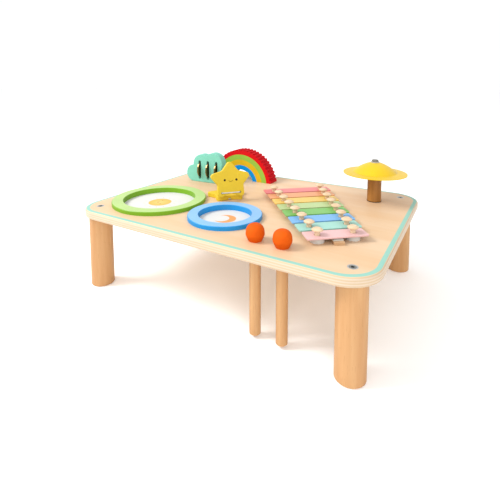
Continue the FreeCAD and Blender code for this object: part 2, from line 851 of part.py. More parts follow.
def build():
    """Make every node."""
    save(tabletop(), "tabletop")
    for name, at in leg_places().items():
        save(leg(at), "leg_" + name)
    spots = list(leg_places().values())
    save(group([leg_bolt(at) for at in spots]), "leg_bolts")
    save(group([bolt_cup(at) for at in spots]), "leg_bolt_cups")
    save(group([leg_insert(at) for at in spots]), "leg_inserts")
    green_screws = ring_screw_places(green_drum_at, green_drum_radius, green_ring_width, 4, 45)
    blue_screws = ring_screw_places(blue_drum_at, blue_drum_radius, blue_ring_width, 3, 90)
    save(drum_ring(green_drum_at, green_drum_radius, green_ring_width, green_screws), "green_drum_ring")
    save(drum_head(green_drum_at, green_drum_radius, green_ring_width), "green_drumhead")
    save(drum_ring(blue_drum_at, blue_drum_radius, blue_ring_width, blue_screws), "blue_drum_ring")
    save(drum_head(blue_drum_at, blue_drum_radius, blue_ring_width), "blue_drumhead")
    for name, at in (("left", mallet_left_at), ("right", mallet_right_at)):
        save(mallet_head(at), "mallet_head_" + name)
        save(mallet_stick(at), "mallet_stick_" + name)
    spots = []
    for index in range(bar_count):
        save(xylophone_bar(index), "bar_" + str(index + 1) + "_" + bar_colours[index])
        spots += peg_places(index)
    save(group([peg(spot) for spot in spots]), "xylophone_pegs")
    save(group([felt(spot) for spot in spots]), "xylophone_felts")
    save(xylophone_rail(), "xylophone_rail")
    save(rail_felt(), "xylophone_rail_felt")
    save(cymbal_post(), "cymbal_post")
    save(cymbal_base_ring(), "cymbal_base_ring")
    save(cymbal_washer(cymbal_levels()["lower"]), "cymbal_lower_washer")
    save(cymbal_sheet_shape(), "cymbal")
    save(cymbal_washer(cymbal_levels()["upper"]), "cymbal_upper_washer")
    save(cymbal_screw(), "cymbal_screw")
    for index, colour in enumerate(rainbow_colours):
        save(rainbow_arch(index), "rainbow_" + colour + "_arch")
    save(cloud_block(), "cloud_block")
    save(jingle_rod(), "jingle_rod")
    for index, along in enumerate(cloud_places()):
        save(jingle(along, -1), "jingle_" + str(index + 1) + "_left")
        save(jingle(along, 1), "jingle_" + str(index + 1) + "_right")
    save(castanet_base(), "castanet_base")
    save(star_plate(star_thickness, castanet_lean, hinge_gap), "castanet_star")
    front = hinge_gap + star_thickness + cord_radius
    save(cord_run(front, hinge_gap, castanet_lean), "castanet_cord_front")
    below = -base_star_thickness + cord_radius + screw_fit
    save(cord_run(below, 0, 90), "castanet_cord_base")
    save(cord_links(), "castanet_cord_links")
    save(group([screw(place) for place in all_screw_places()]), "underside_screws")


build()
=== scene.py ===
"""Looks of a musical activity table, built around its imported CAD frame."""

import logging
import math
from dataclasses import dataclass, field
from enum import Enum
from typing import Protocol

import bpy
from mathutils import Matrix, Vector


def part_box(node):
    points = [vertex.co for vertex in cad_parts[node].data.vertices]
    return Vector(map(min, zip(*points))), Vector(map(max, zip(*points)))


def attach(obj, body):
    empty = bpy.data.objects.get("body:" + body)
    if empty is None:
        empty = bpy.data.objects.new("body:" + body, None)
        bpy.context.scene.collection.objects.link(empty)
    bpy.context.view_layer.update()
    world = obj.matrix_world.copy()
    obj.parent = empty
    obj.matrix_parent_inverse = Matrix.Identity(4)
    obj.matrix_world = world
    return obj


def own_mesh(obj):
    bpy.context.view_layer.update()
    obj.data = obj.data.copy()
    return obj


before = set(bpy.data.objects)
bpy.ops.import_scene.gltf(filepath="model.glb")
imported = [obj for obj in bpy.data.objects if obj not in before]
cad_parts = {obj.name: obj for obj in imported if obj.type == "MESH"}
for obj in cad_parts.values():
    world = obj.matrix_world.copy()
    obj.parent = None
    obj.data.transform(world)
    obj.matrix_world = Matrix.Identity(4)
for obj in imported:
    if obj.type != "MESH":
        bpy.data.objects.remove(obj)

Colour = tuple[float, float, float, float]
Triple = tuple[float, float, float]
Stops = tuple[float, float]
Socket = bpy.types.NodeSocket

LOG = logging.getLogger("activity_table")
MM = 0.001

# How much brighter the studio shows a level face than its paint alone would be.
LIGHT_LEVEL = 1.55

# The usual curve between screen values and linear light.
SCREEN_TOE = 0.04045
SCREEN_SLOPE = 12.92
SCREEN_OFFSET = 0.055
SCREEN_POWER = 2.4

ORIGIN = (0.0, 0.0, 0.0)
UP = (0.0, 0.0, 1.0)
IN_PLAN = (1.0, 1.0, 0.0)
IN_FRONT_VIEW = (1.0, 0.0, 1.0)

# Places on a noise where the darker and the lighter tone of a patchy colour lie.
TONE_STOPS = (0.3, 0.7)

# Upright part of the surface normal at which a face counts as level.
LEVEL_LIMIT = 0.8
LEVEL_SOFT = 0.12

# Patches and fibres that the finishes share.
PAINT_PATCH_CELLS = 22.0
PATCH_DETAIL = 3.0
FIBRE_DETAIL = 5.0
PAINT_ROUGH_SPREAD = 0.14
FIBRE_DEPTH = 0.3 * MM


def hex_colour(code: str) -> Colour:
    """Turn a six-digit screen colour into the paint that shows it in the studio's light.

    Args:
        code: Screen colour such as "ffe5c6".

    Returns:
        Linear red, green, blue and an alpha of 1.
    """
    channels = []
    for value in bytes.fromhex(code):
        level = value / 255
        if level <= SCREEN_TOE:
            channels.append(level / SCREEN_SLOPE)
        else:
            channels.append(((level + SCREEN_OFFSET) / (1 + SCREEN_OFFSET)) ** SCREEN_POWER)
    return tuple(channel / LIGHT_LEVEL for channel in channels) + (1.0,)


def shade(colour: Colour, factor: float) -> Colour:
    """Return the colour made darker or lighter by a factor."""
    return tuple(min(1.0, channel * factor) for channel in colour[:3]) + (1.0,)


def even(cells: float) -> Triple:
    """Return the same number of noise cells per metre for every axis."""
    return (cells, cells, cells)


class GrainAxis(Enum):
    """Direction that wood fibres run in, as scales that stretch a noise along it."""

    X = (6.0, 90.0, 90.0)
    Y = (90.0, 6.0, 90.0)
    Z = (90.0, 90.0, 6.0)

    def finer(self, factor: float) -> Triple:
        """Return the scales multiplied by a factor."""
        return tuple(factor * value for value in self.value)


class Motif(Enum):
    """Print in the middle of a drumhead."""

    SUN = "sun"
    MOON = "moon"


class Finish(Protocol):
    """Anything that makes a material under a name of its own."""

    @property
    def name(self) -> str:
        """Name of the material."""

    def material(self) -> bpy.types.Material:
        """Build the material."""


class Graph:
    """One node material, with short calls for the nodes that the finishes share."""

    def __init__(self, name: str) -> None:
        """Start an empty material with its shader and output."""
        self.material = bpy.data.materials.new(name)
        self.material.use_nodes = True
        self.nodes = self.material.node_tree.nodes
        self.links = self.material.node_tree.links
        self.shader = self.nodes["Principled BSDF"]
        self.place = self.nodes.new("ShaderNodeTexCoord").outputs["Object"]

    def feed(self, target: Socket, value: object) -> None:
        """Link a socket, or set a plain value.

        Args:
            target: Input socket that gets the value.
            value: A socket to link from, or a number or vector to store.
        """
        if isinstance(value, bpy.types.NodeSocket):
            self.links.new(value, target)
        else:
            target.default_value = value

    def operator(self, kind: str, operation: str, first: object, second: object) -> bpy.types.Node:
        """Add a node that combines two values.

        Args:
            kind: Type of the node.
            operation: Blender's name of the operation.
            first: First value or socket.
            second: Second value or socket.

        Returns:
            The node.
        """
        node = self.nodes.new(kind)
        node.operation = operation
        self.feed(node.inputs[0], first)
        self.feed(node.inputs[1], second)
        return node

    def math(self, operation: str, first: object, second: object = 0.0) -> Socket:
        """Combine two numbers by an operation such as "ADD"."""
        return self.operator("ShaderNodeMath", operation, first, second).outputs[0]

    def vector(self, operation: str, first: object, second: object = ORIGIN) -> Socket:
        """Combine two vectors by an operation such as "MULTIPLY"."""
        return self.operator("ShaderNodeVectorMath", operation, first, second).outputs["Vector"]

    def measure(self, operation: str, first: object, second: object = ORIGIN) -> Socket:
        """Draw one number from vectors by an operation such as "LENGTH"."""
        return self.operator("ShaderNodeVectorMath", operation, first, second).outputs["Value"]

    def parts(self, vector: Socket) -> bpy.types.NodeOutputs:
        """Split a vector into its X, Y and Z outputs."""
        node = self.nodes.new("ShaderNodeSeparateXYZ")
        self.links.new(vector, node.inputs[0])
        return node.outputs

    def along(self, direction: Triple, origin: Triple = ORIGIN) -> Socket:
        """Measure the place along a direction from an origin.

        Args:
            direction: Unit vector in the row frame.
            origin: Point in the row frame, in metres.

        Returns:
            Signed distance in metres.
        """
        moved = self.vector("SUBTRACT", self.place, origin)
        return self.measure("DOT_PRODUCT", moved, direction)

    def radius_from(self, origin: Triple, plane: Triple = IN_PLAN) -> Socket:
        """Measure the distance from an axis through a point.

        Args:
            origin: Point on the axis, in metres.
            plane: 1 for each direction that counts, and 0 along the axis.

        Returns:
            Distance in metres.
        """
        moved = self.vector("SUBTRACT", self.place, origin)
        return self.measure("LENGTH", self.vector("MULTIPLY", moved, plane))

    def facing(self, axis: int) -> Socket:
        """Size of the surface normal along axis 0, 1 or 2."""
        geometry = self.nodes.new("ShaderNodeNewGeometry")
        return self.math("ABSOLUTE", self.parts(geometry.outputs["Normal"])[axis])

    def level(self) -> Socket:
        """Mask that is 1 on faces that look up or down."""
        return self.math("SUBTRACT", 1.0, self.below(self.facing(2), LEVEL_LIMIT, LEVEL_SOFT))

    def below(self, value: Socket, limit: float, soft: float = 0.2 * MM) -> Socket:
        """Mask that is 1 where a value is under a limit.

        Args:
            value: Socket to test.
            limit: Limit in the value's units.
            soft: Width of the soft step.

        Returns:
            Mask from 0 to 1.
        """
        node = self.nodes.new("ShaderNodeMapRange")
        node.interpolation_type = "SMOOTHSTEP"
        self.feed(node.inputs["Value"], value)
        node.inputs["From Min"].default_value = limit - soft
        node.inputs["From Max"].default_value = limit + soft
        node.inputs["To Min"].default_value = 1.0
        node.inputs["To Max"].default_value = 0.0
        return node.outputs["Result"]

    def noise(self, scale: Triple, detail: float, rough: float = 0.55) -> Socket:
        """Soft noise on the object's own coordinates.

        Args:
            scale: Noise cells per metre along each axis.
            detail: Number of finer octaves.
            rough: Weight of the finer octaves.

        Returns:
            Noise from 0 to 1.
        """
        node = self.nodes.new("ShaderNodeTexNoise")
        self.links.new(self.vector("MULTIPLY", self.place, scale), node.inputs["Vector"])
        node.inputs["Scale"].default_value = 1.0
        node.inputs["Detail"].default_value = detail
        node.inputs["Roughness"].default_value = rough
        return node.outputs["Fac"]

    def wave(self, distance: Socket, pitch: float) -> Socket:
        """Sine of a distance, at a pitch in radians per metre."""
        return self.math("SINE", self.math("MULTIPLY", distance, pitch))

    def ramp(self, factor: Socket, stops: Stops, colours: tuple[Colour, Colour]) -> Socket:
        """Blend two colours between two places on a mask.

        Args:
            factor: Socket from 0 to 1.
            stops: Places of the two colours, in order.
            colours: The two colours.

        Returns:
            Colour socket.
        """
        node = self.nodes.new("ShaderNodeValToRGB")
        for element, position, colour in zip(node.color_ramp.elements, stops, colours):
            element.position = position
            element.color = colour
        self.links.new(factor, node.inputs["Fac"])
        return node.outputs["Color"]

    def tones(self, factor: Socket, colour: Colour, darker: float, lighter: float = 1.0) -> Socket:
        """Let a colour drift between two tones of itself.

        Args:
            factor: Noise that the drift follows.
            colour: Colour in its plain tone.
            darker: Factor of the darker tone.
            lighter: Factor of the lighter tone.

        Returns:
            Colour socket.
        """
        return self.ramp(factor, TONE_STOPS, (shade(colour, darker), shade(colour, lighter)))

    def mix(self, factor: object, first: object, second: object) -> Socket:
        """Blend two colours.

        Args:
            factor: Share of the second colour.
            first: Colour or socket.
            second: Colour or socket.

        Returns:
            Colour socket.
        """
        node = self.nodes.new("ShaderNodeMix")
        node.data_type = "RGBA"
        self.feed(node.inputs[0], factor)
        self.feed(node.inputs[6], first)
        self.feed(node.inputs[7], second)
        return node.outputs[2]

    def overlay(self, mask: Socket, share: float, under: object, over: Colour) -> Socket:
        """Lay a share of a colour over another where a mask shows it.

        Args:
            mask: Mask from 0 to 1.
            share: Share of the upper colour where the mask is 1.
            under: Colour or socket below.
            over: Colour laid on top.

        Returns:
            Colour socket.
        """
        return self.mix(self.math("MULTIPLY", mask, share), under, over)

    def roughness(self, factor: Socket, middle: float, spread: float) -> Socket:
        """Roughness that follows a noise.

        Args:
            factor: Noise from 0 to 1.
            middle: Roughness where the noise is a half.
            spread: Difference between the roughest and the smoothest place.

        Returns:
            Roughness socket.
        """
        return self.math("ADD", self.math("MULTIPLY", factor, spread), middle - spread / 2)

    def bump(self, height: Socket, strength: float, depth: float = FIBRE_DEPTH) -> None:
        """Give the shader a bumpy surface.

        Args:
            height: Height from 0 to 1.
            strength: Strength from 0 to 1.
            depth: Depth in metres.
        """
        node = self.nodes.new("ShaderNodeBump")
        node.inputs["Strength"].default_value = strength
        node.inputs["Distance"].default_value = depth
        self.links.new(height, node.inputs["Height"])
        self.links.new(node.outputs["Normal"], self.shader.inputs["Normal"])

    def finish(
        self,
        base: object,
        rough: object,
        metal: float = 0.0,
        coat: float = 0.0,
        shine: float = 0.28,
        coat_rough: float = 0.22,
    ) -> bpy.types.Material:
        """Set the shader's main inputs.

        Args:
            base: Base colour or socket.
            rough: Roughness or socket.
            metal: Metallic share.
            coat: Weight of a clear coat.
            shine: Strength of the surface's own reflection.
            coat_rough: Roughness of the clear coat.

        Returns:
            The finished material.
        """
        self.feed(self.shader.inputs["Base Color"], base)
        self.feed(self.shader.inputs["Roughness"], rough)
        self.shader.inputs["Metallic"].default_value = metal
        self.shader.inputs["Coat Weight"].default_value = coat
        self.shader.inputs["Specular IOR Level"].default_value = shine
        self.shader.inputs["Coat Roughness"].default_value = coat_rough
        return self.material


@dataclass(frozen=True)
class PaintedWood:
    """Satin paint with the wood's fibres faintly showing through."""

    name: str
    colour: str
    axis: GrainAxis = GrainAxis.X
    rough: float = 0.42
    tone_range: tuple[float, float] = (0.93, 1.05)
    fibre_tone: float = 0.82
    fibre_show: float = 0.16
    relief: float = 0.22
    shine: float = 0.15

    def material(self) -> bpy.types.Material:
        """Build the material.

        Returns:
            Material for a painted wooden piece.
        """
        graph = Graph(self.name)
        colour = hex_colour(self.colour)
        fibres = graph.noise(self.axis.value, FIBRE_DETAIL)
        patches = graph.noise(even(PAINT_PATCH_CELLS), PATCH_DETAIL)
        tone = graph.tones(patches, colour, *self.tone_range)
        base = graph.overlay(fibres, self.fibre_show, tone, shade(colour, self.fibre_tone))
        graph.bump(fibres, self.relief)
        rough = graph.roughness(patches, self.rough, PAINT_ROUGH_SPREAD)
        return graph.finish(base, rough, shine=self.shine)


@dataclass(frozen=True)
class RingPaint:
    """Satin paint on a turned ring, its upper face paler than its walls as a painted highlight."""

    name: str
    # top is the upper face's colour, paler than the wall by a painted highlight from the light
    # above.
    top: str
    wall: str
    centre: Triple
    rough: float = 0.45
    lit_top_range: tuple[float, float] = (0.95, 1.03)
    wall_range: tuple[float, float] = (0.93, 1.04)
    fibre_tone: float = 0.9
    fibre_show: float = 0.1
    turning_pitch: float = 9000.0
    turning_share: float = 0.12
    relief: float = 0.18
    coat: float = 0.05

    def material(self) -> bpy.types.Material:
        """Build the material.

        Returns:
            Material for a drum ring.
        """
        graph = Graph(self.name)
        fibres = graph.noise(GrainAxis.X.value, FIBRE_DETAIL)
        patches = graph.noise(even(PAINT_PATCH_CELLS), PATCH_DETAIL)
        wall = hex_colour(self.wall)
        upper = graph.tones(patches, hex_colour(self.top), *self.lit_top_range)
        side = graph.tones(patches, wall, *self.wall_range)
        # Level faces get the paler top colour: a painted highlight where the light falls from
        # above.
        base = graph.mix(graph.level(), side, upper)
        base = graph.overlay(fibres, self.fibre_show, base, shade(wall, self.fibre_tone))
        turning = graph.wave(graph.radius_from(self.centre), self.turning_pitch)
        turning = graph.math("MULTIPLY", turning, self.turning_share)
        graph.bump(graph.math("ADD", turning, fibres), self.relief)
        rough = graph.roughness(patches, self.rough, PAINT_ROUGH_SPREAD)
        return graph.finish(base, rough, coat=self.coat)


@dataclass(frozen=True)
class RibbedPaint:
    """Satin paint on the ribbed arch, deeper in tone on its ribs than on its faces."""

    name: str
    colour: str
    rib_colour: str
    axis_point: Triple
    face_radius: float
    rough: float = 0.57
    tone_range: tuple[float, float] = (0.93, 1.05)
    face_limit: float = 0.8
    relief: float = 0.22
    shine: float = 0.08

    def material(self) -> bpy.types.Material:
        """Build the material.

        Returns:
            Material for the outermost arch.
        """
        graph = Graph(self.name)
        radius = graph.radius_from(self.axis_point, IN_FRONT_VIEW)
        on_face = graph.math("GREATER_THAN", graph.facing(1), self.face_limit)
        plain = graph.math("MAXIMUM", graph.below(radius, self.face_radius), on_face)
        fibres = graph.noise(GrainAxis.Y.value, FIBRE_DETAIL)
        patches = graph.noise(even(PAINT_PATCH_CELLS), PATCH_DETAIL)
        face = graph.tones(patches, hex_colour(self.colour), *self.tone_range)
        base = graph.mix(plain, hex_colour(self.rib_colour), face)
        graph.bump(fibres, self.relief)
        rough = graph.roughness(patches, self.rough, PAINT_ROUGH_SPREAD)
        return graph.finish(base, rough, shine=self.shine)


@dataclass(frozen=True)
class NaturalWood:
    """Lacquered wood with fibres, growth bands and short flecks."""

    name: str
    light: str
    dark: str
    axis: GrainAxis = GrainAxis.Z
    rough: float = 0.5
    rough_spread: float = 0.2
    fibre_scale: float = 3.0
    fibre_detail: float = 6.0
    fibre_weight: float = 0.6
    fibre_tone: float = 0.9
    fibre_show: float = 0.35
    band_scale: float = 0.8
    band_stops: Stops = (0.32, 0.68)
    coarse_detail: float = 2.0
    fleck_scale: float = 9.0
    fleck_limit: float = 0.64
    fleck_tone: float = 0.72
    fleck_show: float = 0.3
    relief: float = 0.3

    def material(self) -> bpy.types.Material:
        """Build the material.

        Returns:
            Material for a bare wooden piece.
        """
        graph = Graph(self.name)
        dark = hex_colour(self.dark)
        fibre_cells = self.axis.finer(self.fibre_scale)
        fibres = graph.noise(fibre_cells, self.fibre_detail, self.fibre_weight)
        bands = graph.noise(self.axis.finer(self.band_scale), self.coarse_detail)
        flecks = graph.noise(self.axis.finer(self.fleck_scale), self.coarse_detail)
        base = graph.ramp(bands, self.band_stops, (hex_colour(self.light), dark))
        base = graph.overlay(fibres, self.fibre_show, base, shade(dark, self.fibre_tone))
        specks = graph.math("GREATER_THAN", flecks, self.fleck_limit)
        base = graph.overlay(specks, self.fleck_show, base, shade(dark, self.fleck_tone))
        graph.bump(fibres, self.relief)
        return graph.finish(base, graph.roughness(fibres, self.rough, self.rough_spread))


@dataclass(frozen=True)
class PrintedPlywood:
    """Board with a pale veneer, a printed border line and layered edges."""

    name: str
    veneer: str = "ffdfbb"
    veneer_dark: str = "f6cc9e"
    veneer_stops: Stops = (0.3, 0.75)
    cloud_cells: Triple = (3.0, 22.0, 22.0)
    fibre_cells: Triple = (14.0, 260.0, 260.0)
    fibre_detail: float = 6.0
    fibre_weight: float = 0.6
    fibre_tone: float = 0.86
    fibre_show: float = 0.22
    border: str = "a2dccb"
    border_inset: float = 5.8 * MM
    border_width: float = 6.6 * MM
    corner: float = 54.0 * MM
    ply_light: str = "f1dcc2"
    ply_dark: str = "e6cba8"
    ply_fibre: str = "cfa87e"
    ply_fibre_show: float = 0.25
    ply_step: float = 1.88 * MM
    ply_blur: float = 0.06
    rough: float = 0.495
    rough_spread: float = 0.15
    relief: float = 0.12
    relief_depth: float = 0.2 * MM
    coat: float = 0.06

    def border_distance(self, graph: Graph, half: Vector) -> Socket:
        """Signed distance in the plan to the middle of the border line.

        Args:
            graph: Material being built.
            half: Half the board's length and width.

        Returns:
            Distance in metres, negative inside the line.
        """
        core = (half.x - self.corner, half.y - self.corner, 1.0)
        past = graph.vector("SUBTRACT", graph.vector("ABSOLUTE", graph.place), core)
        clipped = graph.vector("MULTIPLY", graph.vector("MAXIMUM", past, ORIGIN), IN_PLAN)
        outside = graph.measure("LENGTH", clipped)
        right, back = graph.parts(past)[:2]
        inside = graph.math("MINIMUM", graph.math("MAXIMUM", right, back), 0.0)
        distance = graph.math("ADD", outside, inside)
        return graph.math("SUBTRACT", distance, self.corner - self.border_inset)

    def upper_face(self, graph: Graph, fibres: Socket, half: Vector) -> Socket:
        """Colour of the veneer with the border line.

        Args:
            graph: Material being built.
            fibres: Noise of the veneer's fibres.
            half: Half the board's length and width.

        Returns:
            Colour socket.
        """
        dark = hex_colour(self.veneer_dark)
        clouds = graph.noise(self.cloud_cells, PATCH_DETAIL)
        face = graph.ramp(clouds, self.veneer_stops, (hex_colour(self.veneer), dark))
        face = graph.overlay(fibres, self.fibre_show, face, shade(dark, self.fibre_tone))
        distance = graph.math("ABSOLUTE", self.border_distance(graph, half))
        line = graph.below(distance, self.border_width / 2)
        return graph.mix(line, face, hex_colour(self.border))

    def edge(self, graph: Graph, fibres: Socket, bottom: float) -> Socket:
        """Colour of the layers that show on the board's edge.

        Args:
            graph: Material being built.
            fibres: Noise of the veneer's fibres.
            bottom: Height of the board's underside.

        Returns:
            Colour socket.
        """
        height = graph.along(UP, (0.0, 0.0, bottom))
        layer = graph.math("FRACT", graph.math("DIVIDE", height, 2 * self.ply_step))
        odd = graph.below(layer, 0.5, self.ply_blur)
        side = graph.mix(odd, hex_colour(self.ply_dark), hex_colour(self.ply_light))
        return graph.overlay(fibres, self.ply_fibre_show, side, hex_colour(self.ply_fibre))

    def material(self) -> bpy.types.Material:
        """Build the material.

        Returns:
            Material for the tabletop.
        """
        graph = Graph(self.name)
        low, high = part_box("tabletop")
        fibres = graph.noise(self.fibre_cells, self.fibre_detail, self.fibre_weight)
        face = self.upper_face(graph, fibres, high)
        base = graph.mix(graph.level(), self.edge(graph, fibres, low.z), face)
        graph.bump(fibres, self.relief, self.relief_depth)
        rough = graph.roughness(fibres, self.rough, self.rough_spread)
        return graph.finish(base, rough, coat=self.coat)


@dataclass(frozen=True)
class Metal:
    """Bare metal with fine brushing and slight tarnish."""

    name: str
    colour: str
    rough: float = 0.3
    rough_spread: float = 0.2
    brush_cells: Triple = (300.0, 300.0, 2400.0)
    tarnish_cells: float = 70.0
    tarnish_tone: float = 0.84
    relief: float = 0.08
    relief_depth: float = 0.1 * MM

    def material(self) -> bpy.types.Material:
        """Build the material.

        Returns:
            Material for a bare metal piece.
        """
        graph = Graph(self.name)
        brushed = graph.noise(self.brush_cells, PATCH_DETAIL)
        tarnish = graph.noise(even(self.tarnish_cells), PATCH_DETAIL)
        base = graph.tones(tarnish, hex_colour(self.colour), self.tarnish_tone)
        graph.bump(brushed, self.relief, self.relief_depth)
        rough = graph.roughness(brushed, self.rough, self.rough_spread)
        return graph.finish(base, rough, metal=1.0)


@dataclass(frozen=True)
class Enamel:
    """Coloured enamel baked on sheet metal."""

    name: str
    colour: str
    rough: float = 0.36
    rough_spread: float = 0.1
    tone_range: tuple[float, float] = (0.95, 1.03)
    peel_cells: float = 420.0
    patch_cells: float = 16.0
    detail: float = 2.0
    relief: float = 0.06
    relief_depth: float = 0.1 * MM
    coat: float = 0.12

    def material(self) -> bpy.types.Material:
        """Build the material.

        Returns:
            Material for an enamelled bar.
        """
        graph = Graph(self.name)
        peel = graph.noise(even(self.peel_cells), self.detail)
        patches = graph.noise(even(self.patch_cells), self.detail)
        base = graph.tones(patches, hex_colour(self.colour), *self.tone_range)
        graph.bump(peel, self.relief, self.relief_depth)
        rough = graph.roughness(peel, self.rough, self.rough_spread)
        return graph.finish(base, rough, coat=self.coat)


@dataclass(frozen=True)
class TurnedEnamel:
    """Enamel on a spun disc, whose fine turning rings show through."""

    name: str
    colour: str
    centre: Triple
    rough: float = 0.36
    rough_spread: float = 0.12
    tone_range: tuple[float, float] = (0.95, 1.03)
    patch_cells: float = 30.0
    ring_pitch: float = 5200.0
    relief: float = 0.1
    relief_depth: float = 0.1 * MM
    coat: float = 0.1

    def material(self) -> bpy.types.Material:
        """Build the material.

        Returns:
            Material for the cymbal.
        """
        graph = Graph(self.name)
        rings = graph.wave(graph.radius_from(self.centre), self.ring_pitch)
        rings = graph.math("ADD", graph.math("MULTIPLY", rings, 0.5), 0.5)
        patches = graph.noise(even(self.patch_cells), PATCH_DETAIL)
        base = graph.tones(patches, hex_colour(self.colour), *self.tone_range)
        graph.bump(rings, self.relief, self.relief_depth)
        rough = graph.roughness(patches, self.rough, self.rough_spread)
        return graph.finish(base, rough, coat=self.coat)


@dataclass(frozen=True)
class Felt:
    """Pressed wool with tangled fibres."""

    name: str
    colour: str
    rough: float = 0.95
    sheen: float = 0.4
    clump_cells: float = 240.0
    clump_stops: Stops = (0.25, 0.75)
    clump_tone: float = 0.86
    tangle_cells: float = 900.0
    tangle_detail: float = 6.0
    tangle_weight: float = 0.75
    tangle_tone: float = 0.75
    tangle_show: float = 0.2
    relief: float = 0.7
    relief_depth: float = 0.6 * MM

    def material(self) -> bpy.types.Material:
        """Build the material.

        Returns:
            Material for a felt piece.
        """
        graph = Graph(self.name)
        colour = hex_colour(self.colour)
        tangle = graph.noise(even(self.tangle_cells), self.tangle_detail, self.tangle_weight)
        clumps = graph.noise(even(self.clump_cells), PATCH_DETAIL)
        base = graph.ramp(clumps, self.clump_stops, (shade(colour, self.clump_tone), colour))
        base = graph.overlay(tangle, self.tangle_show, base, shade(colour, self.tangle_tone))
        graph.bump(tangle, self.relief, self.relief_depth)
        graph.shader.inputs["Sheen Weight"].default_value = self.sheen
        return graph.finish(base, self.rough)


@dataclass(frozen=True)
class ElasticCord:
    """Braided elastic cord."""

    name: str
    colour: str
    turn: float
    rough: float = 0.85
    run_pitch: float = 7000.0
    rise_pitch: float = 5200.0
    weave_stops: Stops = (0.0, 0.6)
    weave_tone: float = 0.78
    relief: float = 0.6

    def material(self) -> bpy.types.Material:
        """Build the material.

        Returns:
            Material for the castanet's cord.
        """
        graph = Graph(self.name)
        colour = hex_colour(self.colour)
        turn = math.radians(self.turn)
        side = (math.cos(turn), math.sin(turn), 0.0)
        run = graph.math("MULTIPLY", graph.along(side), self.run_pitch)
        rise = graph.math("MULTIPLY", graph.along(UP), self.rise_pitch)
        left = graph.math("SINE", graph.math("ADD", run, rise))
        right = graph.math("SINE", graph.math("SUBTRACT", run, rise))
        weave = graph.math("MULTIPLY", graph.math("MULTIPLY", left, right), 0.5)
        weave = graph.math("ADD", weave, 0.5)
        base = graph.ramp(weave, self.weave_stops, (shade(colour, self.weave_tone), colour))
        graph.bump(weave, self.relief)
        return graph.finish(base, self.rough)


@dataclass(frozen=True)
class SunPrint:
    """Smiling sun with a ring of short rays. Sizes are in millimetres."""

    radius: float = 23.0
    middle: str = "ffdc84"
    rim: str = "fcc65e"
    rim_stop: float = 0.9
    rays: int = 14
    ray_circle: float = 31.0
    ray_reach: float = 1.6
    ray_radius: float = 0.9
    ray_colour: str = "f7dca4"
    eye_offset: float = 11.0
    eye_height: float = 3.0
    eye_radius: float = 1.3
    eye_colour: str = "7a4a24"
    smile_dots: int = 9
    smile_start: float = -150.0
    smile_sweep: float = 120.0
    smile_height: float = 1.0
    smile_circle: float = 5.5
    smile_radius: float = 0.6
    smile_colour: str = "8a4b1c"


@dataclass(frozen=True)
class MoonPrint:
    """Plain crescent: a disc with a round bite. Sizes are in millimetres."""

    radius: float = 20.0
    bite_right: float = -7.6
    bite_up: float = 2.3
    bite_radius: float = 15.2
    colour: str = "ffae6b"


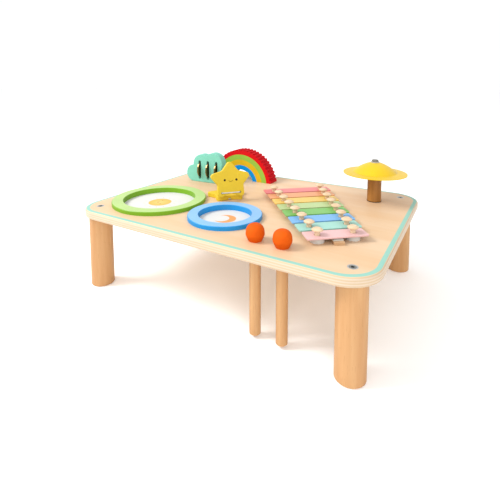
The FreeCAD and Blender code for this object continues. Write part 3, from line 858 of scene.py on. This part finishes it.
@dataclass(frozen=True)
class DrumSkin:
    """Matt drumhead with a simple printed motif in its middle."""

    name: str
    motif: Motif
    centre: Triple
    turn: float
    skin: str = "f4f2ef"
    skin_tone: float = 0.95
    patch_cells: float = 30.0
    pebble_cells: float = 800.0
    pebble_weight: float = 0.6
    rough: float = 0.575
    rough_spread: float = 0.15
    relief: float = 0.25
    relief_depth: float = 0.2 * MM
    edge_blur: float = 0.4 * MM
    sun_print: SunPrint = SunPrint()
    moon_print: MoonPrint = MoonPrint()

    def spot(self, graph: Graph, right: float, up: float, radius: float) -> Socket:
        """Round mask at a place given in the print's own millimetres.

        Args:
            graph: Material being built.
            right: Offset to the print's right.
            up: Offset to the print's top.
            radius: Radius of the spot.

        Returns:
            Mask from 0 to 1.
        """
        turn = math.radians(self.turn)
        shift = Vector((right, up)) * MM
        x = self.centre[0] + shift.x * math.cos(turn) - shift.y * math.sin(turn)
        y = self.centre[1] + shift.x * math.sin(turn) + shift.y * math.cos(turn)
        return graph.below(graph.radius_from((x, y, 0.0)), radius * MM, self.edge_blur)

    def sun(self, graph: Graph, base: Socket) -> Socket:
        """Print the sun.

        Args:
            graph: Material being built.
            base: Colour of the skin.

        Returns:
            Colour with the print.
        """
        sun = self.sun_print
        for index in range(sun.rays):
            angle = 2 * math.pi * index / sun.rays
            # A ray is three dots in a row.
            for step in (-1, 0, 1):
                reach = sun.ray_circle + step * sun.ray_reach
                right, up = reach * math.cos(angle), reach * math.sin(angle)
                dot = self.spot(graph, right, up, sun.ray_radius)
                base = graph.mix(dot, base, hex_colour(sun.ray_colour))
        glow = graph.math("DIVIDE", graph.radius_from(self.centre), sun.radius * MM)
        colours = (hex_colour(sun.middle), hex_colour(sun.rim))
        face = graph.ramp(glow, (0.0, sun.rim_stop), colours)
        base = graph.mix(self.spot(graph, 0.0, 0.0, sun.radius), base, face)
        for right in (-sun.eye_offset, sun.eye_offset):
            eye = self.spot(graph, right, sun.eye_height, sun.eye_radius)
            base = graph.mix(eye, base, hex_colour(sun.eye_colour))
        for index in range(sun.smile_dots):
            share = index / (sun.smile_dots - 1)
            angle = math.radians(sun.smile_start + sun.smile_sweep * share)
            right = sun.smile_circle * math.cos(angle)
            up = sun.smile_height + sun.smile_circle * math.sin(angle)
            dot = self.spot(graph, right, up, sun.smile_radius)
            base = graph.mix(dot, base, hex_colour(sun.smile_colour))
        return base

    def moon(self, graph: Graph, base: Socket) -> Socket:
        """Print the crescent.

        Args:
            graph: Material being built.
            base: Colour of the skin.

        Returns:
            Colour with the print.
        """
        moon = self.moon_print
        disc = self.spot(graph, 0.0, 0.0, moon.radius)
        bite = self.spot(graph, moon.bite_right, moon.bite_up, moon.bite_radius)
        crescent = graph.math("MULTIPLY", disc, graph.math("SUBTRACT", 1.0, bite))
        return graph.mix(crescent, base, hex_colour(moon.colour))

    def material(self) -> bpy.types.Material:
        """Build the material.

        Returns:
            Material for a drumhead.
        """
        graph = Graph(self.name)
        pebbles = graph.noise(even(self.pebble_cells), PATCH_DETAIL, self.pebble_weight)
        patches = graph.noise(even(self.patch_cells), PATCH_DETAIL)
        base = graph.tones(patches, hex_colour(self.skin), self.skin_tone)
        base = self.sun(graph, base) if self.motif is Motif.SUN else self.moon(graph, base)
        graph.bump(pebbles, self.relief, self.relief_depth)
        return graph.finish(base, graph.roughness(pebbles, self.rough, self.rough_spread))


@dataclass(frozen=True)
class StudioFloor:
    """Pale matt floor."""

    name: str
    colour: str = "ffffff"
    tone: float = 0.99
    patch_cells: float = 5.0
    patch_detail: float = 2.0
    rough: float = 0.9

    def material(self) -> bpy.types.Material:
        """Build the material.

        Returns:
            Material for the studio's floor.
        """
        graph = Graph(self.name)
        colour = shade(hex_colour(self.colour), LIGHT_LEVEL)
        patches = graph.noise(even(self.patch_cells), self.patch_detail)
        return graph.finish(graph.tones(patches, colour, self.tone), self.rough)


def paint(node: str, finish: Finish) -> None:
    """Give a CAD node its material.

    Args:
        node: Name of the CAD node.
        finish: Finish whose material it gets.
    """
    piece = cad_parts[node]
    piece.data.materials.clear()
    piece.data.materials.append(finish.material())
    low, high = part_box(node)
    size = (high - low) / MM
    LOG.info("%s: %s, %.0f x %.0f x %.0f mm", node, finish.name, size.x, size.y, size.z)


def centre_of(node: str) -> Triple:
    """Return the middle of a CAD node's box, in metres."""
    low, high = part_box(node)
    return tuple((low + high) / 2)


@dataclass
class TableFrame:
    """Board, legs and the fasteners that join them."""

    corners: tuple[str, ...] = ("front_left", "front_right", "back_left", "back_right")
    leg_light: str = "eab77f"
    leg_dark: str = "d69c64"

    def build(self) -> None:
        """Finish every piece of the table itself."""
        paint("tabletop", PrintedPlywood("board_print"))
        for corner in self.corners:
            wood = NaturalWood("leg_wood_" + corner, self.leg_light, self.leg_dark)
            paint("leg_" + corner, wood)
        paint("leg_bolts", Metal("bolt_steel", "b9bcb8", rough=0.4))
        paint("leg_bolt_cups", Metal("cup_zinc", "f4f4f0", rough=0.5))
        paint("leg_inserts", Metal("insert_zinc", "b9b2a2", rough=0.4))
        paint("underside_screws", Metal("screw_zinc", "b9b4aa", rough=0.38))


@dataclass
class Drum:
    """One drum: a painted ring round a printed head."""

    side: str
    # top is the ring's upper face colour, paler than the wall as a painted highlight.
    top: str
    wall: str
    motif: Motif
    turn: float

    def build(self) -> None:
        """Finish the ring and the head."""
        ring = self.side + "_drum_ring"
        head = self.side + "_drumhead"
        paint(ring, RingPaint(self.side + "_ring_paint", self.top, self.wall, centre_of(ring)))
        paint(head, DrumSkin(self.side + "_skin", self.motif, centre_of(head), self.turn))


@dataclass
class Mallets:
    """The two mallets that stand in the board."""

    sides: tuple[str, ...] = ("left", "right")
    head_colour: str = "f26200"
    head_rough: float = 0.75
    stick_light: str = "ecbb85"
    stick_dark: str = "d8a068"

    def build(self) -> None:
        """Finish both heads and sticks."""
        for side in self.sides:
            name = "mallet_paint_" + side
            head = PaintedWood(name, self.head_colour, GrainAxis.Z, self.head_rough)
            paint("mallet_head_" + side, head)
            stick = NaturalWood("stick_wood_" + side, self.stick_light, self.stick_dark)
            paint("mallet_stick_" + side, stick)


@dataclass
class Xylophone:
    """Bars, pegs, felts and the rail below them."""

    colours: dict[str, str] = field(default_factory=lambda: {
        "bar_1_red": "fc8988",
        "bar_2_orange": "fdae74",
        "bar_3_yellow": "fed365",
        "bar_4_lime": "c5dd97",
        "bar_5_green": "81cb63",
        "bar_6_blue": "80c4fd",
        "bar_7_mint": "ade6d7",
        "bar_8_pink": "fecdcb",
    })
    peg_rough: float = 0.45

    def build(self) -> None:
        """Finish every piece of the xylophone."""
        for node, colour in self.colours.items():
            paint(node, Enamel(node + "_enamel", colour))
        pegs = NaturalWood("peg_wood", "ffe6c4", "f5cfa3", rough=self.peg_rough)
        paint("xylophone_pegs", pegs)
        paint("xylophone_felts", Felt("washer_felt", "f2efe8"))
        paint("xylophone_rail", NaturalWood("rail_wood", "edc79c", "dcae80", GrainAxis.Y))
        paint("xylophone_rail_felt", Felt("rail_felt", "efe9dc"))


@dataclass
class CymbalStand:
    """Cymbal on its post."""

    cymbal_colour: str = "fbd014"
    felt_colour: str = "c9c2b4"
    felt_places: tuple[str, ...] = ("lower", "upper")

    def build(self) -> None:
        """Finish the post, cymbal, washers and screw."""
        # The post is the legs' wood; its darker brown is painted shade under the cymbal.
        paint("cymbal_post", NaturalWood("post_wood_painted_shade", "cf9048", "ae7430"))
        # The ring at the post's foot is coloured dark brown as painted shade, the shadow line at
        # the post's base.
        paint("cymbal_base_ring", Metal("base_ring_painted_shade", "4a3524", rough=0.5))
        enamel = TurnedEnamel("cymbal_enamel", self.cymbal_colour, centre_of("cymbal"))
        paint("cymbal", enamel)
        for place in self.felt_places:
            paint("cymbal_" + place + "_washer", Felt("cymbal_felt_" + place, self.felt_colour))
        paint("cymbal_screw", Metal("cymbal_screw_zinc", "a09a8c", rough=0.4))


@dataclass
class Rainbow:
    """Nested painted arches, the outermost of them ribbed."""

    colours: dict[str, str] = field(default_factory=lambda: {
        "green": "a6cf4c",
        "yellow": "f2c320",
        "blue": "04a0f4",
    })
    red: str = "ea141b"
    rib_red: str = "df0016"
    centre_drop: float = 8.7 * MM
    groove_depth: float = 3.2 * MM

    def build(self) -> None:
        """Finish every arch."""
        for name, colour in self.colours.items():
            wood = PaintedWood("rainbow_" + name + "_paint", colour, GrainAxis.Y)
            paint("rainbow_" + name + "_arch", wood)
        low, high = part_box("rainbow_red_arch")
        middle = ((low.x + high.x) / 2, low.y, low.z - self.centre_drop)
        face_radius = high.z - middle[2] - self.groove_depth
        ribbed = RibbedPaint("rainbow_rib_paint", self.red, self.rib_red, middle, face_radius)
        paint("rainbow_red_arch", ribbed)


@dataclass
class JingleCloud:
    """Cloud block with its rod and jingles."""

    slots: int = 3
    sides: tuple[str, ...] = ("left", "right")
    cloud_colour: str = "90e3cb"
    cloud_rough: float = 0.45
    brass_colour: str = "c79a62"
    brass_rough: float = 0.22

    def build(self) -> None:
        """Finish the block, the rod and every jingle."""
        wood = PaintedWood("cloud_paint", self.cloud_colour, GrainAxis.X, self.cloud_rough)
        paint("cloud_block", wood)
        paint("jingle_rod", Metal("rod_steel", "a8a49c"))
        for slot in range(1, self.slots + 1):
            for side in self.sides:
                node = f"jingle_{slot}_{side}"
                paint(node, Metal(node + "_brass", self.brass_colour, self.brass_rough))


@dataclass
class StarCastanet:
    """Star plates, their cord and the raised star's face."""

    hinge: Vector = field(default_factory=lambda: Vector((-48.7, -20.7, 164.0)) * MM)
    turn: float = 46.0
    lean: float = 12.0
    star_colour: str = "ffd93c"
    star_rough: float = 0.6
    cord_colour: str = "f3f1ec"
    link_keep: float = 0.05
    face_depth: float = 11.4 * MM
    proud: float = 0.3 * MM
    eye_colour: str = "0c0f0c"
    eye_spread: float = 24.3 * MM
    eye_height: float = 33.5 * MM
    eye_radius: float = 2.3 * MM
    eye_segments: int = 32
    smile_colour: str = "9a7a14"
    smile_height: float = 34.6 * MM
    smile_radius: float = 4.2 * MM
    smile_thickness: float = 0.55 * MM
    smile_drop: float = 0.45
    smile_segments: tuple[int, int] = (48, 10)

    def face_frame(self, along: float, up: float) -> Matrix:
        """Place on the raised star's front face.

        Args:
            along: Offset to the star's right, in metres.
            up: Height from its feet, in metres.

        Returns:
            Matrix whose Z axis stands out of the face.
        """
        turn = math.radians(self.turn)
        tilt = math.radians(self.lean)
        side = Vector((math.cos(turn), math.sin(turn), 0.0))
        forward = Vector((math.sin(turn), -math.cos(turn), 0.0))
        rise = Vector((0.0, 0.0, math.cos(tilt))) - forward * math.sin(tilt)
        out = Vector((0.0, 0.0, math.sin(tilt))) + forward * math.cos(tilt)
        spot = self.hinge + side * along + rise * up + out * self.face_depth
        turned = Matrix((side, rise, out)).transposed().to_4x4()
        return Matrix.Translation(spot) @ turned

    def halve_and_flatten(self, thickness: float) -> None:
        """Cut the edited mesh's lower half away and press the rest flat.

        Args:
            thickness: Height of the upper half before it is pressed, in metres.
        """
        bpy.ops.mesh.select_all(action="SELECT")
        bpy.ops.mesh.bisect(plane_co=ORIGIN, plane_no=UP, clear_inner=True, use_fill=True)
        bpy.ops.mesh.select_all(action="SELECT")
        flatten = (1.0, 1.0, self.proud / thickness)
        bpy.ops.transform.resize(value=flatten, center_override=ORIGIN)
        bpy.ops.object.mode_set(mode="OBJECT")
        bpy.ops.object.shade_smooth_by_angle()

    def settle(self, piece: bpy.types.Object, place: Matrix, finish: Finish) -> None:
        """Move a modelled piece onto the face, and let it ride on the star.

        Args:
            piece: Object modelled round its own origin.
            place: Its place on the face.
            finish: Finish whose material it gets.
        """
        piece.data.transform(place)
        piece.data.materials.append(finish.material())
        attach(piece, "castanet_star")
        LOG.info("%s: %d faces", piece.name, len(piece.data.polygons))

    def eye(self, name: str, along: float) -> None:
        """Model one eye as a low dome.

        Args:
            name: Name of the object.
            along: Offset to the star's right, in metres.
        """
        bpy.ops.mesh.primitive_uv_sphere_add(
            segments=self.eye_segments,
            ring_count=self.eye_segments // 2,
            radius=self.eye_radius,
        )
        piece = bpy.context.object
        piece.name = name
        bpy.ops.object.mode_set(mode="EDIT")
        self.halve_and_flatten(self.eye_radius)
        finish = PaintedWood(name + "_paint", self.eye_colour)
        self.settle(piece, self.face_frame(along, self.eye_height), finish)

    def smile(self) -> None:
        """Model the smile as a thin arc lying on the face."""
        around, across = self.smile_segments
        bpy.ops.mesh.primitive_torus_add(
            major_segments=around,
            minor_segments=across,
            major_radius=self.smile_radius,
            minor_radius=self.smile_thickness,
        )
        piece = bpy.context.object
        piece.name = "star_smile"
        cut = (0.0, -self.smile_radius * self.smile_drop, 0.0)
        bpy.ops.object.mode_set(mode="EDIT")
        bpy.ops.mesh.select_all(action="SELECT")
        bpy.ops.mesh.bisect(plane_co=cut, plane_no=(0, 1, 0), clear_outer=True, use_fill=True)
        self.halve_and_flatten(self.smile_thickness)
        finish = PaintedWood("smile_paint", self.smile_colour)
        self.settle(piece, self.face_frame(0.0, self.smile_height), finish)

    def build(self) -> None:
        """Finish the plates and the cord, and add the face."""
        for node in ("castanet_base", "castanet_star"):
            name = node + "_paint"
            paint(node, PaintedWood(name, self.star_colour, GrainAxis.X, self.star_rough))
        for part in ("front", "base", "links"):
            cord = ElasticCord("cord_" + part, self.cord_colour, self.turn)
            paint("castanet_cord_" + part, cord)
        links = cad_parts["castanet_cord_links"]
        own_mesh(links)
        self.eye("star_eye_left", -self.eye_spread / 2)
        self.eye("star_eye_right", self.eye_spread / 2)
        self.smile()


@dataclass(frozen=True)
class Lamp:
    """One soft square lamp that looks at the table. Places and sizes are in metres."""

    name: str
    place: Triple
    size: float
    power: float
    target: Triple = (0.0, 0.0, 0.15)

    def build(self) -> None:
        """Add the lamp to the scene."""
        data = bpy.data.lights.new(self.name, "AREA")
        data.size = self.size
        data.energy = self.power
        lamp = bpy.data.objects.new(self.name, data)
        lamp.location = self.place
        aim = Vector(self.target) - Vector(self.place)
        lamp.rotation_euler = aim.to_track_quat("-Z", "Y").to_euler()
        bpy.context.scene.collection.objects.link(lamp)


@dataclass
class Studio:
    """Floor, light and the camera at the photograph's angle."""

    camera_place: Vector = field(default_factory=lambda: Vector((378.3, -664.0, 393.4)) * MM)
    camera_turn: float = 30.565
    camera_pitch: float = 5.364
    lens: float = 27.679
    sensor_width: float = 36.0
    shift_up: float = -0.26
    floor_size: float = 60.0
    floor_cuts: int = 4
    surround_strength: float = 1.02
    lamps: tuple[Lamp, ...] = (
        Lamp("key_lamp", (-1.5, -1.0, 1.8), size=0.9, power=55.0),
        Lamp("fill_lamp", (1.1, -1.7, 0.9), size=1.4, power=19.0),
    )

    def floor(self) -> None:
        """Add the pale floor under the table."""
        bpy.ops.mesh.primitive_plane_add(size=self.floor_size)
        piece = bpy.context.object
        piece.name = "studio_floor"
        bpy.ops.object.mode_set(mode="EDIT")
        bpy.ops.mesh.select_all(action="SELECT")
        bpy.ops.mesh.subdivide(number_cuts=self.floor_cuts)
        bpy.ops.object.mode_set(mode="OBJECT")
        piece.data.materials.append(StudioFloor("floor_paint").material())

    def world(self) -> None:
        """Light the scene evenly from a pale surround."""
        surround = bpy.data.worlds.new("studio_surround")
        surround.use_nodes = True
        background = surround.node_tree.nodes["Background"]
        background.inputs["Color"].default_value = (1.0, 1.0, 1.0, 1.0)
        background.inputs["Strength"].default_value = self.surround_strength
        bpy.context.scene.world = surround

    def camera(self) -> None:
        """Add the nearly level camera, whose frame is shifted down onto the table."""
        data = bpy.data.cameras.new("photo_camera")
        data.lens = self.lens
        data.sensor_width = self.sensor_width
        data.shift_y = self.shift_up
        camera = bpy.data.objects.new("photo_camera", data)
        camera.location = self.camera_place
        pitch = math.radians(90 - self.camera_pitch)
        camera.rotation_euler = (pitch, 0.0, math.radians(self.camera_turn))
        bpy.context.scene.collection.objects.link(camera)
        bpy.context.scene.camera = camera

    def build(self) -> None:
        """Set up the whole studio."""
        self.floor()
        self.world()
        for lamp in self.lamps:
            lamp.build()
        self.camera()
        bpy.context.scene.view_settings.view_transform = "Standard"
        LOG.info("studio: camera at %s", tuple(round(value, 3) for value in self.camera_place))


def main() -> None:
    """Build the looks of every sub-assembly, then the studio."""
    logging.basicConfig(level=logging.INFO, format="%(name)s %(message)s")
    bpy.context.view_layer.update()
    parts = [
        TableFrame(),
        # Each drum's first colour is its ring's upper face with a painted highlight, the second
        # its wall.
        Drum("green", "c8e791", "86be20", Motif.SUN, turn=-60.0),
        Drum("blue", "98ceff", "1ba0ee", Motif.MOON, turn=30.4),
        Mallets(),
        Xylophone(),
        CymbalStand(),
        Rainbow(),
        JingleCloud(),
        StarCastanet(),
        Studio(),
    ]
    for part in parts:
        part.build()
        LOG.info("%s is done", type(part).__name__)


if __name__ == "__main__":
    main()
